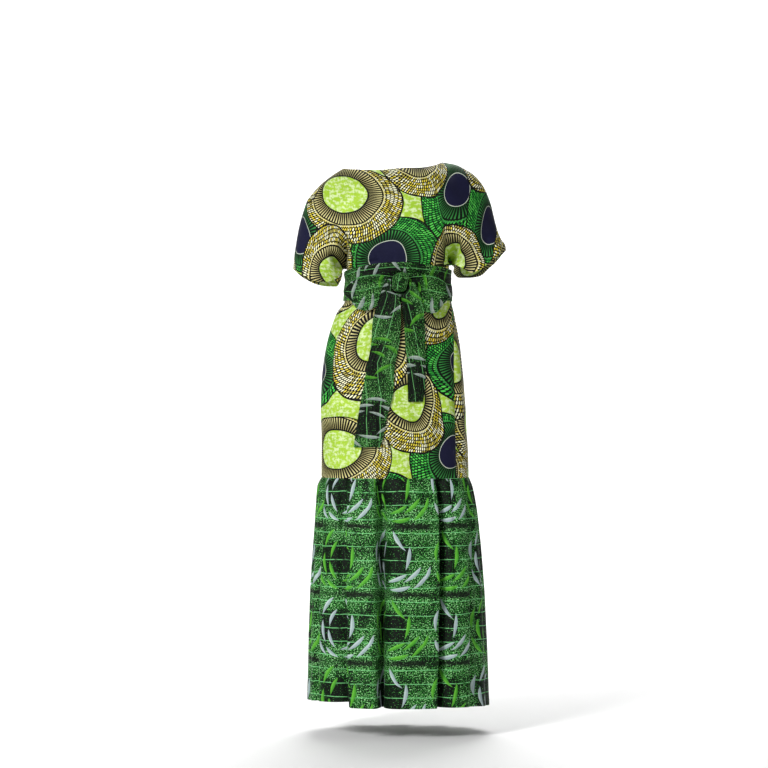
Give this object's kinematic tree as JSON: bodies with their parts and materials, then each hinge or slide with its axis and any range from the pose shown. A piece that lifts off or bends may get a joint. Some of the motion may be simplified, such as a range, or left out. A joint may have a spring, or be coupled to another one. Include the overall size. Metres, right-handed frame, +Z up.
{
  "type": "dress",
  "caption": "Full-length wax-print cotton dress with a boat neck, batwing short sleeves, a column skirt, a pleated flounce and a sash tied in front.",
  "frame": {"origin": "midway between the shoulders at shoulder height, where the wearer's shoulders carry the dress", "axes": "+Z up along the worn dress, +X to the wearer's left, front facing -Y"},
  "size_m": [0.5541, 0.4003, 1.4077],
  "materials": {
    "oval_print": "crisp plain-weave cotton, wax printed with large ovals in lime, gold, green and navy",
    "leaf_print": "crisp plain-weave cotton, wax printed with slender leaves on speckled dark green"
  },
  "bodies": {
    "root": {"bodice_front": "oval_print", "bodice_back": "oval_print", "skirt_front": "oval_print", "skirt_back": "oval_print", "flounce_front": "leaf_print", "flounce_back": "leaf_print", "sash_band": "leaf_print", "sash_knot": "leaf_print", "sash_loop_left": "leaf_print", "sash_loop_right": "leaf_print", "sash_tail_left": "leaf_print", "sash_tail_right": "leaf_print"}
  },
  "joints": []
}
